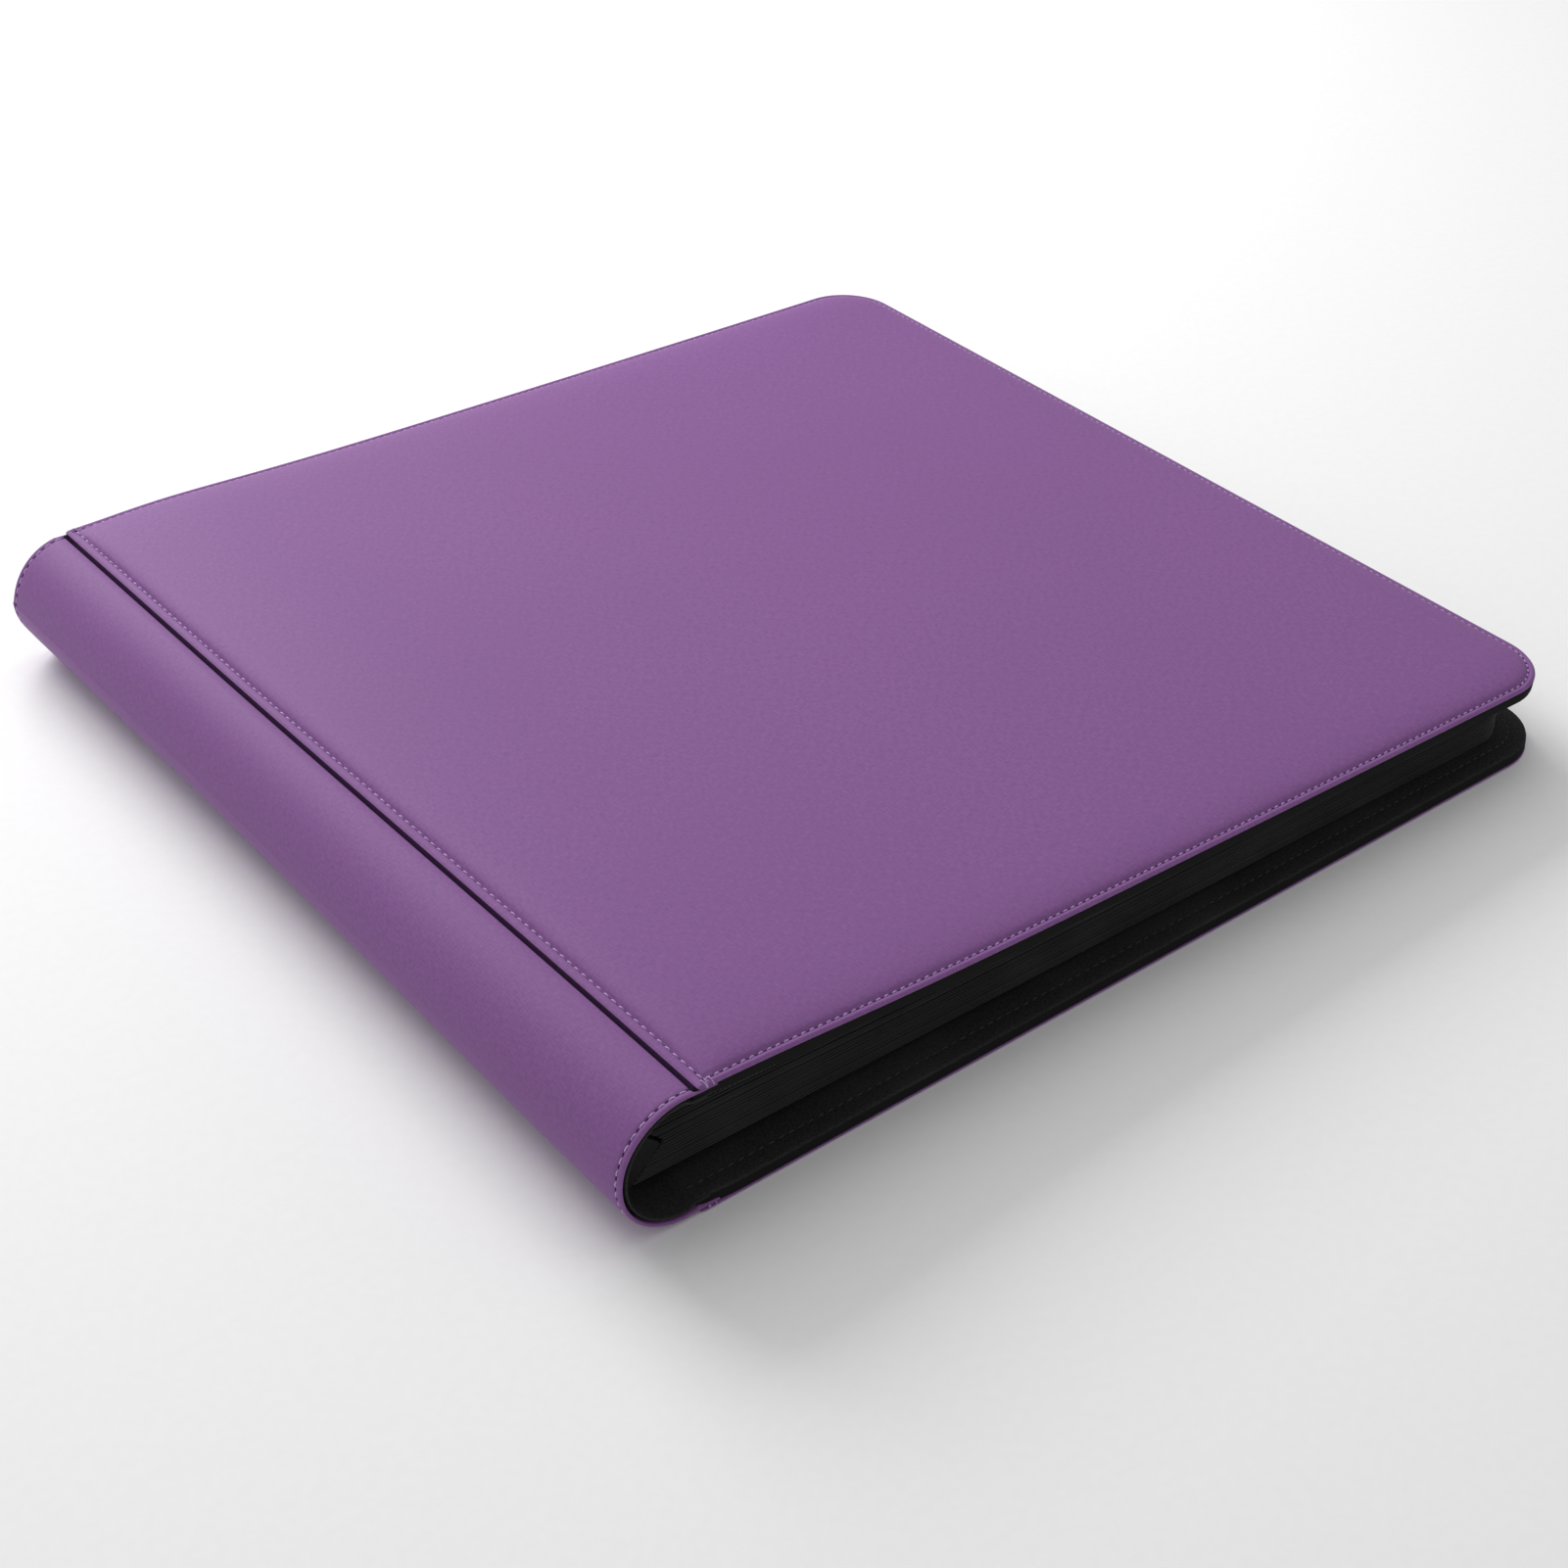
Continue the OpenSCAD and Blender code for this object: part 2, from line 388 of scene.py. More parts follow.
def lining_cloth():
    """Matt black microfibre with a short, uneven nap, and painted shade on the band of its turned edge."""
    graph = Graph("lining_cloth")
    base = colours().lining
    place = graph.place()
    nap = graph.noise(place, 1500.0, 3.0)
    brushed = graph.noise(place, 26.0, 3.0)
    tone = graph.tones(nap, 0.3, 0.7, base, 0.65, 1.35)
    tone = graph.mix(brushed.smooth(0.4, 0.75) * 0.5, tone, rgba(base, 1.9))
    # Painted shade: the band of the lining's turned edge, between about 0.3 and 4.6 mm deep, is darkened.
    depth = graph.add("ShaderNodeSeparateXYZ", None, {0: graph.flat()}, out="Z")
    edge = depth.smooth(0.3 * MM, 0.9 * MM) * (1.0 - depth.smooth(4.0 * MM, 4.6 * MM))
    tone = graph.mix(edge, tone, rgba(base, 0.40))
    return graph.finish({
        "Base Color": tone,
        "Roughness": 0.82 + nap * 0.12,
        "Specular IOR Level": 0.08,
        "Normal": graph.bump(nap * 0.7 + brushed * 0.6, 0.45, 0.18 * MM),
    })


def leaf_sheet():
    """Black polypropylene sheet with a fine matt emboss."""
    graph = Graph("leaf_sheet")
    base = colours().sheet
    place = graph.place()
    emboss = graph.noise(place, 2200.0, 2.0)
    scuff = graph.noise(place, 30.0, 3.0)
    return graph.finish({
        "Base Color": graph.tones(scuff, 0.35, 0.75, base, 0.8, 1.4),
        "Roughness": 0.46 + emboss * 0.14 + scuff * 0.08,
        "Specular IOR Level": 0.22,
        "Normal": graph.bump(emboss, 0.2, 0.06 * MM),
    })


def pocket_film():
    """Clear glossy film of the card pockets, with slight ripples."""
    graph = Graph("pocket_film")
    place = graph.place()
    ripple = graph.noise(place, 45.0, 2.0)
    haze = graph.noise(place, 160.0, 3.0)
    return graph.finish({
        "Base Color": graph.mix(haze.smooth(0.3, 0.7), *FILM_TINTS),
        "Roughness": 0.10 + haze * 0.08,
        "Alpha": 0.05 + haze * 0.05,
        "Specular IOR Level": 0.6,
        "Normal": graph.bump(ripple, 0.25, 0.8 * MM),
    })


def weld_film():
    """Frosted film along the welds."""
    graph = Graph("weld_film")
    ribs = graph.noise(graph.place(), 900.0, 1.0)
    return graph.finish({
        "Base Color": graph.mix(ribs.smooth(0.35, 0.65), *WELD_TINTS),
        "Roughness": 0.30 + ribs * 0.2,
        "Normal": graph.bump(ribs, 0.6, 0.15 * MM),
    })


def binding_plastic():
    """Matt black plastic of the binding block."""
    graph = Graph("binding_plastic")
    place = graph.place()
    mould = graph.noise(place, 700.0, 3.0)
    streak = graph.noise(graph.scaled(place, (60.0, 4.0, 60.0)), 1.0, 2.0)
    return graph.finish({
        "Base Color": graph.mix(streak.smooth(0.3, 0.7), *BINDING_TINTS),
        "Roughness": 0.62 + mould * 0.15,
        "Specular IOR Level": 0.2,
        "Normal": graph.bump(mould, 0.3, 0.1 * MM),
    })


def padding_foam():
    """Open-cell padding foam."""
    graph = Graph("padding_foam")
    base = colours().foam
    cells = graph.add("ShaderNodeTexVoronoi", None, {"Vector": graph.place(), "Scale": 1400.0})
    return graph.finish({
        "Base Color": graph.mix(cells.smooth(0.1, 0.6), rgba(base, 0.55), rgba(base)),
        "Roughness": 0.9,
        "Normal": graph.bump(cells, 0.6, 0.3 * MM),
    })


def cover_board():
    """Grey board with pressed fibres."""
    graph = Graph("cover_board")
    base = colours().board
    fibres = graph.noise(graph.scaled(graph.place(), (900.0, 140.0, 900.0)), 1.0, 3.0)
    return graph.finish({
        "Base Color": graph.tones(fibres, 0.3, 0.7, base, 0.75, 1.2),
        "Roughness": 0.85,
        "Normal": graph.bump(fibres, 0.4, 0.1 * MM),
    })


def spine_stiffener():
    """Dull plastic sheet inside the spine."""
    graph = Graph("spine_stiffener")
    base = colours().stiffener
    drawn = graph.noise(graph.scaled(graph.place(), (90.0, 6.0, 90.0)), 1.0, 2.0)
    return graph.finish({
        "Base Color": graph.tones(drawn, 0.3, 0.7, base, 0.8, 1.3),
        "Roughness": 0.5 + drawn * 0.1,
        "Normal": graph.bump(drawn, 0.2, 0.1 * MM),
    })


def studio_floor():
    """Pale paper sweep."""
    graph = Graph("studio_floor")
    base = colours().floor
    paper = graph.noise(graph.place(), 300.0, 3.0)
    return graph.finish({
        "Base Color": graph.tones(paper, 0.3, 0.7, base, 0.985, 1.0),
        "Roughness": 0.9,
        "Specular IOR Level": 0.1,
    })


# ---------------------------------------------------------------- mesh helpers

class Cloth:
    """Vertices, faces and flat places of a mesh in the making."""

    def __init__(self):
        self.points = []
        self.faces = []
        self.flat = []

    def row(self, points, flat):
        """Adds a row of vertices and returns their numbers."""
        first = len(self.points)
        self.points.extend(points)
        self.flat.extend(flat)
        return list(range(first, len(self.points)))

    def join(self, row_a, row_b, closed=False):
        """Fills the strip between two rows."""
        count = len(row_a)
        for step in range(count if closed else count - 1):
            after = (step + 1) % count
            self.faces.append((row_a[step], row_a[after], row_b[after], row_b[step]))

    def strips(self, rows, closed=False):
        """Fills the strips between rows that follow each other."""
        for row, following in zip(rows, rows[1:]):
            self.join(row, following, closed)

    def lay(self, spots, place):
        """Adds a row of vertices for flat spots (u, y), which place() puts into space."""
        return self.row([place(u, y) for u, y in spots], [(u, y, 0) for u, y in spots])

    def fill(self, edge, panel, middle, place):
        """Fills a panel inside its edge: a ring at inset middle, then the flat field within."""
        self.join(edge, self.lay(panel.ring(middle), place), closed=True)
        self.strips([self.lay(line, place) for line in panel.grid(panel.u_low + middle, middle)])

    def build(self, name, make_material, merge=True):
        """Makes the object. Points that lie on each other become one."""
        mesh = bpy.data.meshes.new(name)
        mesh.from_pydata([tuple(point) for point in self.points], [], self.faces)
        layer = mesh.attributes.new("flat", "FLOAT_VECTOR", "POINT")
        layer.data.foreach_set("vector", [value for place in self.flat for value in place])
        mesh.update()
        shape = bmesh.new()
        shape.from_mesh(mesh)
        if merge:
            bmesh.ops.remove_doubles(shape, verts=shape.verts, dist=1e-7)
            bmesh.ops.dissolve_degenerate(shape, edges=shape.edges, dist=1e-7)
            bmesh.ops.recalc_face_normals(shape, faces=shape.faces)
        for face in shape.faces:
            face.smooth = True
        shape.to_mesh(mesh)
        shape.free()
        piece = bpy.data.objects.new(name, mesh)
        bpy.context.scene.collection.objects.link(piece)
        piece.data.materials.append(material(make_material))
        return piece


def stand_for(piece, slot, *nodes):
    """Hides the CAD nodes that a piece stands for; the piece and the slot are not used."""
    if nodes:
        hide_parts(*nodes)


def spread(first, last, steps):
    """Evenly spaced numbers from first to last."""
    return [first + (last - first) * step / steps for step in range(steps + 1)]


class Panel2D:
    """Outline of a rounded panel: u runs away from the spine, y along it."""
    ARC_STEPS = 16

    def __init__(self, u_low, u_high, half, fore_radius, seam_radius, u_steps, y_steps):
        self.u_low, self.u_high, self.half = u_low, u_high, half
        self.radii = {"seam": seam_radius, "fore": fore_radius}
        self.u_steps, self.y_steps = u_steps, y_steps

    def corner(self, end, side, inset, first_angle):
        """Points of one rounded corner, drawn in by inset."""
        radius = self.radii[end]
        centre_in = max(radius, inset)
        left = max(radius - inset, 0.0)
        u = self.u_low + centre_in if end == "seam" else self.u_high - centre_in
        y = side * (self.half - centre_in)
        angles = spread(first_angle, first_angle + math.pi / 2, self.ARC_STEPS)
        return [(u + left * math.cos(angle), y + left * math.sin(angle)) for angle in angles]

    @staticmethod
    def side(first, last, steps):
        """Points strictly between two corner points."""
        return list(zip(spread(first[0], last[0], steps), spread(first[1], last[1], steps)))[1:-1]

    def ring(self, inset):
        """The whole outline, drawn in by inset."""
        half_turn = math.pi
        corners = [
            self.corner("seam", -1, inset, half_turn),
            self.corner("fore", -1, inset, 1.5 * half_turn),
            self.corner("fore", 1, inset, 0.0),
            self.corner("seam", 1, inset, 0.5 * half_turn),
        ]
        points = []
        for number, corner in enumerate(corners):
            following = corners[(number + 1) % 4]
            steps = self.u_steps if number % 2 == 0 else self.y_steps
            points += corner + self.side(corner[-1], following[0], steps)
        return points

    def open_row(self, inset):
        """The outline without its seam side, drawn in by inset from the three free edges."""
        near = self.corner("fore", -1, inset, 1.5 * math.pi)
        far = self.corner("fore", 1, inset, 0.0)
        start = (self.u_low, near[0][1])
        end = (self.u_low, far[-1][1])
        points = [start] + self.side(start, near[0], self.u_steps) + near
        points += self.side(near[-1], far[0], self.y_steps) + far
        return points + self.side(far[-1], end, self.u_steps) + [end]

    def grid(self, u_first, inset):
        """Rows of the middle field, which starts at inset from the free edges."""
        along = spread(u_first, self.u_high - inset, self.u_steps)
        across = spread(inset - self.half, self.half - inset, self.y_steps)
        return [[(u, y) for u in along] for y in across]

    def free_inset(self, u, y):
        """Distance from the nearest free edge."""
        radius = self.radii["fore"]
        du = self.u_high - u
        dy = self.half - abs(y)
        if du < radius and dy < radius:
            return radius - math.hypot(radius - du, radius - dy)
        return min(du, dy)


def back_point(u, y, depth):
    """A point of the back cover: u from the seam, depth inward from the outer face."""
    return Vector((SEAM_X + u, y, depth))


def sag_at(u):
    """How far the front cover hangs at u: it drops away from the stiff seam and levels out."""
    share = min(1.0, max(0.0, u / COVER_W))
    return sizes().cover_sag * (1.0 - math.exp(-(share / 0.185) ** 2) - 0.3 * share ** 3)


def dent_share(y):
    """0 at the spine's near end, rising to 1 in its far half."""
    share = min(1.0, max(0.0, (y + HALF_L) / (1.45 * HALF_L)))
    return share * share * (3.0 - 2.0 * share)


def spine_dent(outward, y):
    """How far the soft spine is pressed in where its outward direction is given."""
    top = max(0.0, outward.z) ** 0.6
    return sizes().spine_dent * dent_share(y) * (abs(outward.x) + 0.85 * top)


def corner_droop(u, y):
    """How far the flap follows the dented spine."""
    along = max(0.0, u) / (28 * MM)
    return 0.85 * sizes().spine_dent * dent_share(y) * math.exp(-along ** 2)


def front_point(u, y, depth):
    """The same point of the front cover, which leans down to the fore-edge."""
    along = u + ROUND_START - sizes().front_draw * max(0.0, u / COVER_W)
    rise = FLAP_T - depth - sag_at(u) - corner_droop(u, y)
    x = FRONT_SEAM.x + along * math.cos(TILT) + rise * math.sin(TILT)
    z = FRONT_SEAM.z - along * math.sin(TILT) + rise * math.cos(TILT)
    return Vector((x, y, z))


COVERS = {"back": back_point, "front": front_point}


def soft_step(value):
    """Rises from 0 and levels out at 1."""
    return 1.0 - math.exp(-max(0.0, value))


def unevenness(u, y, size, seed):
    """Slow hills of a soft surface, from -1 to 1."""
    return noise.noise(Vector((u / size, y / size, seed)))


def edge_fold(thickness):
    """The rounded fold of an edge: (inset, height) from its under side to its top."""
    radius = thickness / 2
    angles = spread(-math.pi / 2, math.pi / 2, 6)
    return [(radius - radius * math.cos(angle), radius * math.sin(angle) - radius) for angle in angles]


# ---------------------------------------------------------------- covers

SEAM_CORNER = 1.2 * MM
BACK_PRESS = 0.25 * MM
HEM_BEAD = 0.12 * MM
CHANNEL_DEPTH = 0.40 * MM
FREE_CHANNEL_W = 0.7 * MM
SEAM_CHANNEL_W = 0.4 * MM
# Strength of the painted shade on the seam edge below the flap.
SEAM_EDGE_PAINTED_SHADE = 0.85

# Insets of the skin's rings from the edge, in millimetres: close together at the stitch channel.
UNDER_RINGS = (17.0, 9.0, 4.0, 1.6)
SKIN_RINGS = (0.6, 1.0, 1.4, 1.75, 2.05, 2.3, 2.55, 2.8, 3.05, 3.3,
              3.7, 4.3, 5.1, 6.1, 7.4, 9.0, 11.2, 14.2, 17.3)


def cover_panel(u_low=0.0):
    return Panel2D(u_low, COVER_W, HALF_L, sizes().corner_radius, SEAM_CORNER, 58, 60)


def hem_height(free, u):
    """Height of the folded hem: free is the distance from the free edges."""
    from_free = min(1.0, free / sizes().hem_width)
    from_seam = min(1.0, u / sizes().seam_inset)
    hem = (sizes().hem_drop + HEM_BEAD) * math.sin(from_free * math.pi / 2)
    hem *= 0.55 + 0.45 * math.sin(from_seam * math.pi / 2)
    return hem - sizes().hem_drop


def channel_depth(inside, beyond_seam):
    """Depth of the channel that the stitches pull into the leatherette."""
    channel = math.exp(-(inside / FREE_CHANNEL_W) ** 2) + math.exp(-(beyond_seam / SEAM_CHANNEL_W) ** 2)
    return CHANNEL_DEPTH * min(1.0, channel)


def crown_height(inside, beyond_seam, u, y):
    """Height of the padded crown: steep beside the stitches, slow farther in, with soft hills."""
    puffed = 0.22 * soft_step(inside / (1.3 * MM)) + 0.78 * soft_step(inside / (7.0 * MM))
    lift = puffed * soft_step(beyond_seam / (2.6 * MM))
    hills = 0.16 * MM * unevenness(u, y, 0.075, 3.0) + 0.05 * MM * unevenness(u, y, 0.02, 8.0)
    stitch_pull = math.exp(-max(0.0, min(inside, beyond_seam)) / (5.0 * MM))
    pucker = 0.07 * MM * unevenness(u, y, 0.006, 5.0) * stitch_pull
    return lift * (sizes().crown + hills + pucker)


def skin_height(panel, u, y):
    """Height of the leatherette above the cover's outer plane."""
    free = panel.free_inset(u, y)
    inside = free - sizes().stitch_inset
    beyond_seam = u - sizes().seam_inset
    hem = hem_height(free, u)
    return hem - channel_depth(inside, beyond_seam) + crown_height(inside, beyond_seam, u, y)


def cover_height(side, panel, u, y):
    """Height of one cover's leatherette; the back cover's padding is pressed flat by the table."""
    height = skin_height(panel, u, y)
    return height if side == "front" else min(height - BACK_PRESS, 0.0)


def painted_seam_edge_shade(u, height):
    """How much painted shade darkens the seam edge low in the fold between flap and spine."""
    in_crease = u <= 0.35 * MM and height <= -0.55 * MM
    return SEAM_EDGE_PAINTED_SHADE if in_crease else 0.0


def cover_skin(side):
    """One cover's leatherette: a crowned closed form, folded round at its edges."""
    point = COVERS[side]
    panel = cover_panel()
    cloth = Cloth()
    middle = sizes().corner_radius

    def ring_row(inset, height_of):
        spots = [(u, y, height_of(u, y)) for u, y in panel.ring(inset)]
        # The third value of flat carries the painted shade of the seam edge.
        flat = [(u, y, painted_seam_edge_shade(u, height)) for u, y, height in spots]
        return cloth.row([point(u, y, -height) for u, y, height in spots], flat)

    under = -sizes().leather_thickness
    def outer_height(u, y):
        return cover_height(side, panel, u, y)

    rows = [ring_row(inset * MM, lambda u, y: under) for inset in UNDER_RINGS]
    for inset, height in edge_fold(sizes().leather_thickness - sizes().hem_drop):
        rows.append(ring_row(inset, lambda u, y, height=height: height - sizes().hem_drop))
    for inset in SKIN_RINGS:
        rows.append(ring_row(inset * MM, outer_height))
    cloth.strips(rows, closed=True)
    cloth.fill(rows[-1], panel, middle, lambda u, y: point(u, y, -outer_height(u, y)))
    cloth.fill(rows[0], panel, middle, lambda u, y: point(u, y, -under))
    skin = cloth.build(f"{side}_cover_skin", leatherette)
    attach(skin, f"{side}_cover")
    stand_for(skin, "leatherette", f"{side}_cover_leather")


# Inset and depth in millimetres, from under the hem, round the board and across the lining's seam.
LINING_PROFILE = [(1.3, 0.96), (0.4, 0.98), (0.15, 1.3), (0.1, 2.2), (0.15, 3.2), (0.2, 3.7),
                  (0.22, 4.1), (0.35, 4.45), (0.65, 4.7), (1.1, 4.8), (3.2, 4.78), (5.4, 4.72),
                  (6.0, 4.60), (6.6, 4.72), (9.0, 4.80), (15.0, 4.80)]


def tucked(u, y):
    """The lining's edge keeps clear of the spine's ends beside the seam."""
    if abs(y) < HALF_L - 3 * MM:
        return y
    return y - math.copysign(1.0 * MM * math.exp(-(max(0.0, u) / (7 * MM)) ** 2), y)


def cover_lining(side):
    """One cover's black lining, turned over the board at the free edges."""
    point = COVERS[side]
    panel = cover_panel(LINING_START)
    cloth = Cloth()
    middle = sizes().corner_radius

    def depth_at(depth, u, y):
        wave = 0.05 * MM * unevenness(u, y, 0.03, 11.0)
        return depth * MM - wave

    def inner_place(u, y):
        return point(u, y, COVER_T)

    rows = []
    for inset, depth in LINING_PROFILE:
        outline = panel.open_row(inset * MM)
        places = [point(u, tucked(u, y), depth_at(depth, u, y)) for u, y in outline]
        # The depth kept in flat also marks the edge band that the lining's material darkens with painted
        # shade.
        rows.append(cloth.row(places, [(u, y, depth * MM) for u, y in outline]))
    rows.append(cloth.lay(panel.open_row(middle), inner_place))
    cloth.strips(rows)
    cloth.strips([cloth.lay(line, inner_place) for line in panel.grid(panel.u_low, middle)])
    lining = cloth.build(f"{side}_cover_lining_cloth", lining_cloth)
    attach(lining, f"{side}_cover")
    stand_for(lining, "lining", f"{side}_cover_lining")


# Kind, depth of its outer and inner face, inset from the free edges and from the seam, in millimetres.
FILLINGS = [("foam", 1.0, 2.55, 5.6, 9.2, padding_foam), ("board", 2.6, 4.15, 1.7, 1.2, cover_board)]


def cover_filling(side, kind, top, bottom, inset, seam_inset, maker):
    """A cover's foam or board as a slab that follows the cover's hang."""
    point = COVERS[side]
    middle = sizes().corner_radius
    outer = Panel2D((seam_inset - inset) * MM, COVER_W, HALF_L, middle, SEAM_CORNER, 40, 12)
    cloth = Cloth()
    edges = []
    for depth in (top, bottom):
        def place(u, y, depth=depth):
            return point(u, y, depth * MM)

        edges.append(cloth.lay(outer.ring(inset * MM), place))
        cloth.fill(edges[-1], outer, middle, place)
    cloth.join(*edges, closed=True)
    slab = cloth.build(f"{side}_cover_{kind}_slab", maker)
    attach(slab, f"{side}_cover")
    stand_for(slab, kind, f"{side}_cover_{kind}")


# ---------------------------------------------------------------- sewing

def along_path(path):
    """Running length at each point of a path of (place, normal, ...), and the whole length."""
    runs = [0.0]
    places = [spot[0] for spot in path]
    for here, there in zip(places, places[1:]):
        runs.append(runs[-1] + (there - here).length)
    return runs, runs[-1]


def at_run(path, runs, run):
    """Place, normal and direction at a running length."""
    run = min(max(run, 0.0), runs[-1])
    low, high = 0, len(runs) - 1
    while high - low > 1:
        middle = (low + high) // 2
        if runs[middle] <= run:
            low = middle
        else:
            high = middle
    place_a, normal_a = path[low]
    place_b, normal_b = path[high]
    gap = runs[high] - runs[low]
    share = 0.0 if gap < 1e-9 else (run - runs[low]) / gap
    direction = (place_b - place_a).normalized() if gap > 1e-9 else Vector((1, 0, 0))
    return place_a.lerp(place_b, share), normal_a.lerp(normal_b, share).normalized(), direction


def thread_piece(cloth, places, radii, up, sides=6):
    """Adds a round thread along some places."""
    rings = []
    for number, place in enumerate(places):
        before = places[max(0, number - 1)]
        after = places[min(len(places) - 1, number + 1)]
        direction = (after - before).normalized()
        across = direction.cross(up).normalized()
        lift = across.cross(direction).normalized()
        turns = [2 * math.pi * step / sides for step in range(sides)]
        ring = [place + radii[number] * (across * math.cos(turn) + lift * math.sin(turn)) for turn in turns]
        rings.append(cloth.row(ring, [tuple(spot) for spot in ring]))
    cloth.strips(rings, closed=True)
    cloth.faces.append(tuple(reversed(rings[0])))
    cloth.faces.append(tuple(rings[-1]))


# One stitch: share of the pitch, height and width there, both in thread radii.
STITCH = [(0.20, -0.9, 0.55), (0.28, 0.1, 0.92), (0.42, 0.6, 1.0),
          (0.58, 0.6, 1.0), (0.72, 0.1, 0.92), (0.80, -0.9, 0.55)]
NEEDLE_R = 0.58 * MM
COVER_SLANT = 0.16 * MM
LINING_SLANT = 0.05 * MM
SPINE_SLANT = 0.1 * MM


def sew(threads, holes, path, pitch, radius, slant):
    """Adds a row of stitches, with a needle hole between each two, along a path of (place, normal)."""
    runs, total = along_path(path)
    stitches = max(1, round(total / pitch))
    step = total / stitches
    for number in range(stitches):
        places = []
        for share, lift, _ in STITCH:
            place, normal, direction = at_run(path, runs, (number + share) * step)
            across = normal.cross(direction)
            places.append(place + normal * lift * radius + across * slant * (share - 0.5) * 2)
        middle_normal = at_run(path, runs, (number + 0.5) * step)[1]
        thread_piece(threads, places, [radius * width for _, _, width in STITCH], middle_normal)
    if holes is None:
        return
    for number in range(stitches + 1):
        needle_mark(holes, *at_run(path, runs, number * step))


def needle_mark(holes, place, normal, direction):
    """Adds one small dished dark disc, the painted shade of a needle hole."""
    across = normal.cross(direction).normalized()
    turns = [2 * math.pi * step / 10 for step in range(10)]
    rings = []
    for size, lift in ((1.0, 0.03), (0.82, 0.11), (0.45, 0.09), (0.06, 0.05)):
        ring = [
            place + normal * lift * MM + size * NEEDLE_R
            * (direction * math.cos(turn) + across * 0.72 * math.sin(turn))
            for turn in turns
        ]
        rings.append(holes.row(ring, [tuple(spot) for spot in ring]))
    holes.strips(rings, closed=True)
    holes.faces.append(tuple(rings[-1]))


def stitch_line():
    """The stitch line of a cover: first along the flap, then round the three free edges."""
    inset = sizes().stitch_inset
    line = cover_panel(sizes().seam_inset).open_row(inset)
    flap = [line[0], *Panel2D.side(line[0], line[-1], 60), line[-1]]
    return flap, tidy_outline(line)


def skin_path(side, outline):
    """Places and outward normals on a cover's leatherette along an outline."""
    point = COVERS[side]
    panel = cover_panel()
    path = []
    for u, y in outline:
        place = point(u, y, -cover_height(side, panel, u, y))
        outward = point(u, y, -MM) - point(u, y, 0.0)
        path.append((place, outward.normalized()))
    return path


def tidy_outline(outline):
    """The outline without points that lie on each other."""
    kept = []
    for spot in outline:
        if not kept or math.dist(spot, kept[-1]) > 1e-6:
            kept.append(spot)
    return kept


TACK_AT = (2.0, 3.1, 4.2)
TACK_LEAN = 0.4
TACK_PRESS = 0.6
TACK_R = 0.16 * MM


def bar_tack(threads, side, end):
    """Adds the short crossing threads that lock the flap's corner to the edge, planned in millimetres."""
    point = COVERS[side]
    under = -sizes().leather_thickness / MM - 0.1
    press = TACK_PRESS if side == "back" else 0.0
    for number, u in enumerate(TACK_AT):
        lean = TACK_LEAN * (-1) ** number
        spots = [(u, 2.2, 0.0), (u + 0.2 * lean, 1.7, 0.45), (u + 0.6 * lean, 0.9, 0.2),
                 (u + lean, 0.2, -0.38), (u + lean, -0.12, -0.7), (u + lean, 0.3, under)]
        places = [
            point(along * MM, end * (HALF_L - inset * MM), (press - height) * MM)
            for along, inset, height in spots
        ]
        thread_piece(threads, places, [TACK_R] * len(places), Vector((1, 0, 0)))


def cover_sewing(side):
    """One cover's stitches and needle holes."""
    threads, holes = Cloth(), Cloth()
    for outline, pitch in zip(stitch_line(), (sizes().seam_pitch, sizes().stitch_pitch)):
        sew(threads, holes, skin_path(side, outline), pitch, sizes().thread_radius, COVER_SLANT)
    for end in (-1, 1):
        bar_tack(threads, side, end)
    thread = threads.build(f"{side}_cover_stitches", sewing_thread, merge=False)
    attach(thread, f"{side}_cover")
    stand_for(thread, "thread", f"{side}_cover_thread")
    hole = holes.build(f"{side}_cover_needle_holes", needle_hole, merge=False)
    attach(hole, f"{side}_cover")
    stand_for(hole, "leatherette")


LINING_SEAM_INSET = 6.0 * MM
LINING_SEAM_DEPTH = 4.62 * MM
LINING_THREAD_R = 0.2 * MM
WHIP_START, WHIP_GAP, WHIP_COUNT = 1.5 * MM, 1.4 * MM, 17
WHIP_SPOTS = [(0.16, 3.9), (0.2, 4.2), (0.34, 4.5), (0.6, 4.75)]
WHIP_R = 0.12 * MM


def whip_stitches(threads, point, end):
    """Adds the short stitches over the lining's edge next to the spine: spots are (inset, depth)."""
    for number in range(WHIP_COUNT):
        u = WHIP_START + number * WHIP_GAP
        places = [
            point(u, tucked(u, end * (HALF_L - inset * MM)), depth * MM)
            for inset, depth in WHIP_SPOTS
        ]
        thread_piece(threads, places, [WHIP_R] * len(places), Vector((1, 0, 0)), sides=5)


def lining_sewing(side):
    """The black seam round a cover's lining."""
    point = COVERS[side]
    panel = cover_panel(LINING_START)
    outline = tidy_outline(panel.open_row(LINING_SEAM_INSET))
    inward = (point(0, 0, MM) - point(0, 0, 0)).normalized()
    path = [(point(u, y, LINING_SEAM_DEPTH), inward) for u, y in outline]
    threads = Cloth()
    sew(threads, None, path, sizes().seam_pitch, LINING_THREAD_R, LINING_SLANT)
    if side == "front":
        for end in (-1, 1):
            whip_stitches(threads, point, end)
    thread = threads.build(f"{side}_lining_stitches", lining_thread, merge=False)
    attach(thread, f"{side}_cover")
    stand_for(thread, "lining")


# ---------------------------------------------------------------- spine

ARC_STEP = math.radians(1.5)
SPINE_AXIS = Vector((SPINE_X, 0.0, SPINE_Z))


def outward_at(angle):
    """Direction out of the spine's round; angle 0 points straight down."""
    return Vector((-math.sin(angle), 0.0, -math.cos(angle)))


